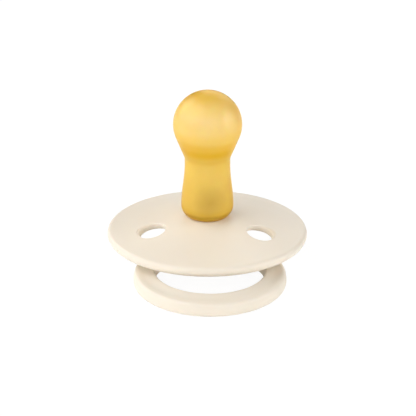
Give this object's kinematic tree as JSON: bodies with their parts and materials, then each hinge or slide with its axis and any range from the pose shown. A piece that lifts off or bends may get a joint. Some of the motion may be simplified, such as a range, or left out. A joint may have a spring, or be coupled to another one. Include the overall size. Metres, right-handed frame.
{
  "type": "pacifier",
  "caption": "Round baby pacifier: hollow amber rubber teat on a domed ivory shield with two vents, a rear knob and a swinging ring handle.",
  "frame": {"origin": "on the teat's axis, at the knob's flat back face, which is what the pacifier stands on", "axes": "+Z along the teat's axis, from the knob to the teat's tip; the ring at rest lies towards -Y; +X along the ring's hinge"},
  "size_m": [0.043, 0.0502, 0.0387],
  "materials": {
    "rubber": "smooth translucent amber natural rubber latex",
    "shield_plastic": "fine matte ivory polypropylene",
    "plug_plastic": "as-moulded ivory polypropylene",
    "knob_plastic": "fine matte ivory polypropylene",
    "ring_plastic": "fine matte ivory polypropylene"
  },
  "bodies": {
    "body": {"shield": "shield_plastic", "teat": "rubber", "plug": "plug_plastic", "knob": "knob_plastic"},
    "ring": {"handle_ring": "ring_plastic"}
  },
  "joints": [
    {"name": "ring_hinge", "type": "hinge", "parent": "body", "child": "ring", "pos_m": [0, 0, 0.0024], "axis": [1, 0, 0], "range_deg": [-4.5, 182]}
  ]
}
